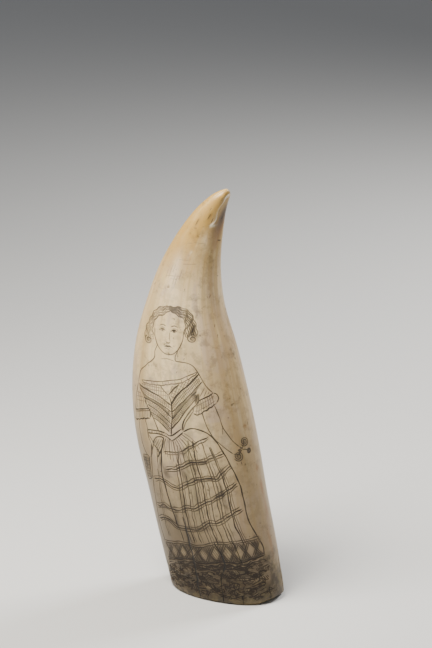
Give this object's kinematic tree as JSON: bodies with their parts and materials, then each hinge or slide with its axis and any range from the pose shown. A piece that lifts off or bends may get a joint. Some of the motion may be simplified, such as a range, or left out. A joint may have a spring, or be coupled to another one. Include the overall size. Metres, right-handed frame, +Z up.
{
  "type": "scrimshaw whale tooth",
  "caption": "Curved polished whale tooth standing on its sawn root, with a lady in a flounced plaid dress engraved on its broad face.",
  "frame": {"origin": "in the sawn face at the root, below the middle of the whole tooth", "axes": "+Z up from the sawn root to the tip's height, +X the way the tip bends, -Y out of the engraved broad face"},
  "size_m": [0.0618, 0.0316, 0.16],
  "materials": {
    "ivory": "polished aged tooth ivory with dark engraved lines and a stained root"
  },
  "bodies": {
    "root": {"whale_tooth": "ivory"}
  },
  "joints": []
}
